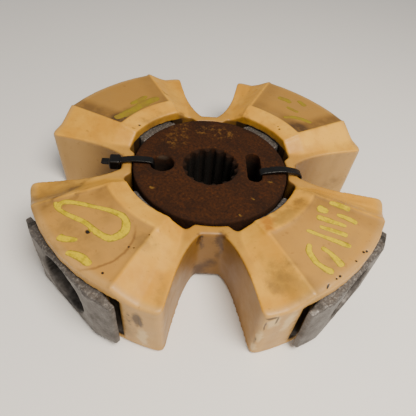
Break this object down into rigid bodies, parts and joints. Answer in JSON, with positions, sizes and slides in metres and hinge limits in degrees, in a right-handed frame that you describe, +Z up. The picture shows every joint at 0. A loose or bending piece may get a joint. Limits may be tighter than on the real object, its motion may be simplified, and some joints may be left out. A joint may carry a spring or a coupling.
{
  "type": "flexible coupling",
  "caption": "Flexible pump coupling: a lobed moulded element with cast aluminium inserts round a rusted steel hub with a splined bore, tied together with cable ties.",
  "frame": {"origin": "under the hub's axis, on the plane of the lobes' flat undersides", "axes": "+Z up along the hub's axis, towards the raised pads; one lobe and its insert on each of +X, +Y, -X and -Y"},
  "size_m": [0.2026, 0.2026, 0.0477],
  "materials": {
    "elastomer": "tan moulded elastomer, dull, with brown grime and yellow paint marks",
    "cast_insert": "dull sand-cast aluminium, dusty grey",
    "rusted_steel": "steel with an even coat of dark brown rust",
    "black_nylon": "satin black nylon"
  },
  "bodies": {
    "root": {"flex_element": "elastomer", "aluminium_insert_1": "cast_insert", "aluminium_insert_2": "cast_insert", "aluminium_insert_3": "cast_insert", "aluminium_insert_4": "cast_insert", "splined_hub": "rusted_steel", "cable_tie_left": "black_nylon", "cable_tie_right": "black_nylon"}
  },
  "joints": []
}
